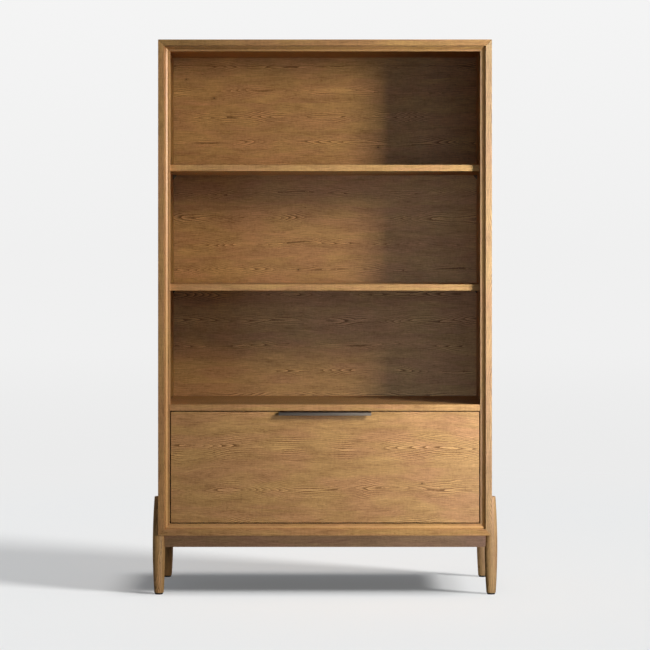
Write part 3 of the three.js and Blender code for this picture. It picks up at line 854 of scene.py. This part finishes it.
def floor_paint():
    """Paint that takes the shadow near the object, and an even tone of its own further out."""
    mix = Recipe("floor_paint")
    reach = mix.add("ShaderNodeVectorMath", operation="LENGTH")
    mix.put(reach.inputs[0], mix.object_place())
    distance = reach.outputs["Value"]
    seen = mix.seen_straight()
    mix.set_skin(Base_Color=mix.blend(seen, FLOOR_UNSEEN, FLOOR_PAINT))
    mix.skin.inputs["Roughness"].default_value = 0.9
    mix.skin.inputs["Specular IOR Level"].default_value = 0.0
    far = mix.add("ShaderNodeEmission")
    mix.put(far.inputs["Color"], mix.blend(mix.ease(distance, *TONE_CHANGES), NEAR_TONE, FAR_TONE))
    mix.put(far.inputs["Strength"], seen)
    share = mix.times(mix.ease(distance, *TONE_COVERS), seen)
    mix.put(mix.out.inputs["Surface"], mix.cover(share, mix.skin.outputs[0], far.outputs[0]))
    return mix.material


def studio_air():
    """Soft light from all round, and behind the floor an even tone that the camera sees."""
    world = bpy.data.worlds.new("studio_air")
    world.use_nodes = True
    mix = Nodes(world.node_tree)
    parts = mix.add("ShaderNodeSeparateXYZ")
    mix.put(parts.inputs[0], mix.add("ShaderNodeTexCoord").outputs["Generated"])
    rise = mix.add("ShaderNodeMapRange")
    mix.put(rise.inputs["Value"], parts.outputs["Z"])
    rise.inputs["From Max"].default_value = HIGH_FROM
    shown = mix.add("ShaderNodeBackground")
    mix.put(shown.inputs["Color"], mix.blend(rise.outputs[0], FAR_TONE, HIGH_TONE))
    shown.inputs["Strength"].default_value = 1.0
    light = mix.add("ShaderNodeBackground")
    light.inputs["Color"].default_value = AIR_COLOUR
    light.inputs["Strength"].default_value = AIR_STRENGTH
    air = mix.cover(mix.seen_straight(), light.outputs[0], shown.outputs[0])
    mix.put(mix.add("ShaderNodeOutputWorld").inputs["Surface"], air)
    return world


floor = round_floor()
floor.data.materials.append(floor_paint())
bpy.context.scene.world = studio_air()
everything = [thing for thing in bpy.context.scene.objects if thing.type == "MESH" and thing is not floor]


# Groups of pieces: what each lamp lights, and what shades it

def pieces(*starts):
    return [thing for thing in everything if thing.name.startswith(starts)]


def side_pieces(side):
    return pieces(f"{side}_side_panel", f"{side}_base_rail")


def leg_pieces(corner):
    return [thing for thing in pieces("leg_", "glide_") if f"{corner}_" in thing.name]


def group_of(name, things):
    group = bpy.data.collections.new(name)
    for thing in things:
        group.objects.link(thing)
    return group


parts_lit = {
    "back": pieces("back_panel"),
    "top": pieces("top_panel", "face_frame_top_rail"),
    "low": pieces("bottom_panel", "face_frame_bottom_rail"),
    "left": side_pieces("left") + pieces("face_frame_left_stile") + leg_pieces("rear_left"),
    "left_leg": leg_pieces("front_left"),
    "right": side_pieces("right") + leg_pieces("right"),
    "right_stile": pieces("face_frame_right_stile"),
    "aprons": pieces("front_apron", "rear_apron"),
    "shelves": pieces("middle_shelf", "upper_shelf"),
    "ledge": pieces("fixed_shelf"),
    "pull": pieces("drawer_pull"),
}
named_so_far = [thing for things in parts_lit.values() for thing in things]
parts_lit["drawer"] = [thing for thing in everything if thing not in named_so_far]
parts_lit["lower"] = parts_lit["drawer"] + parts_lit["ledge"]
parts_lit["left_stile"] = pieces("face_frame_left_stile")
parts_lit["all"] = everything
parts_lit["floor"] = [floor]
lit = {name: group_of("lit_" + name, things) for name, things in parts_lit.items()}
low_shades = group_of("low_shades", pieces("bottom_panel", "front_apron", "rear_apron"))
left_shades = group_of("left_shades", pieces("upper_shelf_eased", "face_frame_left_stile", "left_side_panel"))
floor_only = group_of("floor_only", [floor])


def lamp(name, power, place, target, colour, group, size=None, angle=None, shades=None):
    """A soft box of a size in metres, or a distant lamp of an angle in degrees, on one group of pieces.
    shades are the only things that shade it, where they are given."""
    data = bpy.data.lights.new(name, "AREA" if size else "SUN")
    data.energy = power
    data.color = colour
    if size:
        data.shape = "RECTANGLE"
        data.size, data.size_y = size
    else:
        data.angle = math.radians(angle)
    item = bpy.data.objects.new(name, data)
    bpy.context.scene.collection.objects.link(item)
    item.location = place
    item.rotation_euler = (Vector(target) - Vector(place)).to_track_quat("-Z", "Y").to_euler()
    item.light_linking.receiver_collection = lit[group]
    if shades is not None:
        item.light_linking.blocker_collection = shades
    item.visible_camera = False
    return item


WHITE = (1.0, 1.0, 1.0)
FRONT, CASE_MIDDLE = (0.3, -3.5, 1.0), (0, 0, 0.9)
HIGH_RIGHT, HIGH_LEFT = (1.70, -0.42, 1.75), (-0.4, -0.2, 1.5)
LEFT_LEG = (-0.48, -0.17, 0.1)

# The back panel: a key from the front right, a low fill from the left, and a wide soft front
lamp("back_key", 25.2, (1.47, -1.37, 1.65), (0, 0, 1.65), (1.09, 1.0, 0.74), "back", size=(0.35, 0.4))
lamp("back_fill", 23.0, (-2.0, -2.2, -1.0), (0.2, 0.18, 0.8), (0.8, 1.0, 1.5), "back", size=(1.6, 0.5),
     shades=left_shades)
lamp("back_front", 20.0, (0.8, -4.4, 1.2), (0, 0, 0.9), (0.85, 1.0, 1.1), "back", size=(2.4, 1.6))

# Drawer, pull and fixed shelf
lamp("drawer_key", 27.5, (1.20, -0.90, 1.30), (0, -0.2, 0.8), (1.03, 1.0, 0.85), "drawer", size=(0.3, 0.4))
lamp("ledge_key", 25.0, (1.30, -0.90, 0.94), (0, -0.2, 0.7), (1.03, 1.0, 0.85), "ledge", size=(0.3, 0.5))
lamp("drawer_low", 3.6, (0.90, -0.82, 0.55), (0.2, 0, 0.55), (0.7, 1.0, 1.7), "lower", size=(0.3, 1.1))
lamp("drawer_front", 12.6, (1.30, -1.60, 0.50), (0.1, 0, 0.5), (1.1, 1.0, 0.9), "lower", size=(0.4, 0.3))
lamp("pull_front", 3.6, (0.75, -3.00, 0.26), (0, -0.2, 0.52), (1.06, 1.0, 0.93), "pull", size=(1.0, 0.4))
lamp("pull_near", 2.8, (0.50, -1.40, 0.43), (0.1, -0.2, 0.53), (1.06, 1.0, 0.93), "pull", size=(0.2, 0.12))

# Loose shelves
lamp("shelf_key", 42.0, (1.40, -1.05, 1.35), (0, -0.2, 0.9), (1.04, 1.0, 1.0), "shelves", size=(0.35, 1.0))
lamp("shelf_near", 2.4, (0.80, -0.50, 1.00), (0.2, -0.2, 0.9), (0.4, 1.0, 1.0), "shelves", size=(0.2, 1.2))
lamp("shelf_front", 12.0, FRONT, CASE_MIDDLE, (1.05, 1.0, 0.8), "shelves", size=(2.0, 1.2))

# Left side panel, stile and rear leg
lamp("left_side", 58.0, HIGH_RIGHT, HIGH_LEFT, (1.0, 1.0, 1.15), "left", size=(0.3, 0.7))
lamp("left_high", 13.0, (1.35, -1.60, 1.72), (0, 0, 1.3), (0.9, 1.0, 0.6), "left", size=(0.34, 0.4))
lamp("left_front", 26.0, FRONT, CASE_MIDDLE, (1.15, 1.0, 0.85), "left", size=(2.0, 1.2))
lamp("left_bevel", 2.5, (0.7, -0.25, 2.0), (-0.47, -0.19, 1.3), WHITE, "left_stile", size=(0.2, 0.3),
     shades=floor_only)

# Right side panel and legs, and weaker on the right stile
for side, group, low, high, near in (
        ("right", "right", 12.9, 8.8, 2.8),
        ("stile", "right_stile", 9.8, 5.4, 1.6)):
    lamp(side + "_low", low, (1.20, -1.30, 0.55), (0, 0, 0.55), (0.9, 1.0, 1.4), group, size=(0.35, 0.4))
    lamp(side + "_high", high, (0.90, -0.75, 1.50), (0, 0, 1.4), (0.82, 1.0, 1.35), group, size=(0.25, 0.6))
    lamp(side + "_near", near, (0.75, -0.60, 0.75), (0.2, 0, 0.75), (0.92, 1.0, 1.0), group, size=(0.2, 0.9))
    lamp(side + "_front", 13.2, FRONT, CASE_MIDDLE, (1.08, 1.0, 0.6), group, size=(2.0, 1.2))

# Top and bottom of the case
lamp("top_low", 0.6, (0.85, -0.70, 0.25), (0.2, -0.2, 0.4), (0.97, 1.0, 1.1), "top", size=(0.3, 0.3))
lamp("top_high", 5.0, (0.90, -1.00, 2.20), (0.0, -0.2, 1.6), (1.0, 1.0, 1.1), "top", size=(0.5, 0.3))
lamp("top_front", 17.5, (1.25, -1.35, 1.62), (0, -0.2, 1.6), (1.0, 1.0, 0.95), "top", size=(0.4, 0.3))
lamp("top_side", 26.0, HIGH_RIGHT, HIGH_LEFT, (1.0, 1.0, 0.6), "top", size=(0.3, 0.7))
lamp("low_key", 31.0, (1.15, -1.15, 1.35), (0, 0, 1.35), (1.02, 1.0, 1.1), "low", size=(0.35, 0.9))
lamp("low_front", 13.0, (1.20, -1.30, 0.55), (0, 0, 0.55), (1.0, 1.0, 0.8), "low", size=(0.35, 0.4))
lamp("apron_front", 12.6, (1.00, -1.70, 0.10), (0, -0.17, 0.15), (0.95, 1.0, 1.32), "aprons", size=(0.4, 0.1))

# The front left leg
lamp("left_leg_key", 19.0, (1.00, -1.75, 0.35), LEFT_LEG, WHITE, "left_leg", size=(0.3, 0.4))
lamp("left_leg_front", 15.0, FRONT, LEFT_LEG, (0.95, 1.0, 1.1), "left_leg", size=(1.6, 1.0))

# The sides, back and top, for the views from there
lamp("rear_left", 60.0, (-2.6, 2.4, 1.7), (0, 0.1, 0.8), WHITE, "all", size=(1.2, 1.2))
lamp("rear_right", 40.0, (2.2, 2.8, 1.5), (0, 0.1, 0.8), WHITE, "all", size=(1.2, 1.2))
lamp("top_above", 11.0, (0.3, 0.3, 3.4), (0, 0, 1.6), (1.0, 1.0, 0.95), "top", size=(0.6, 0.4))

# The floor: the three lamps and the air make it 0.29, 0.31, 0.14 and 0.09 bright
lamp("floor_key", 1.82, (2.15, -1.0, 1.85), (0, 0, 0), WHITE, "floor", angle=13)
lamp("floor_soft", 1.39, (0.62, -0.17, 1.0), (0, 0, 0), WHITE, "floor", angle=32, shades=low_shades)
lamp("floor_plain", 0.53, (0, 0, 3), (0, 0, 0), WHITE, "floor", angle=10, shades=floor_only)

bpy.context.scene.view_settings.view_transform = "Standard"

# Camera: level, at the middle of the case's width, with its view shifted down
camera = bpy.data.objects.new("camera", bpy.data.cameras.new("camera"))
bpy.context.scene.collection.objects.link(camera)
camera.location = (0.0, -6.325, 0.996)
camera.rotation_euler = (math.radians(90), 0, 0)
camera.data.lens = 117.4
camera.data.sensor_width = 36.0
camera.data.shift_y = -0.1135
camera.data.clip_end = 100.0
bpy.context.scene.camera = camera
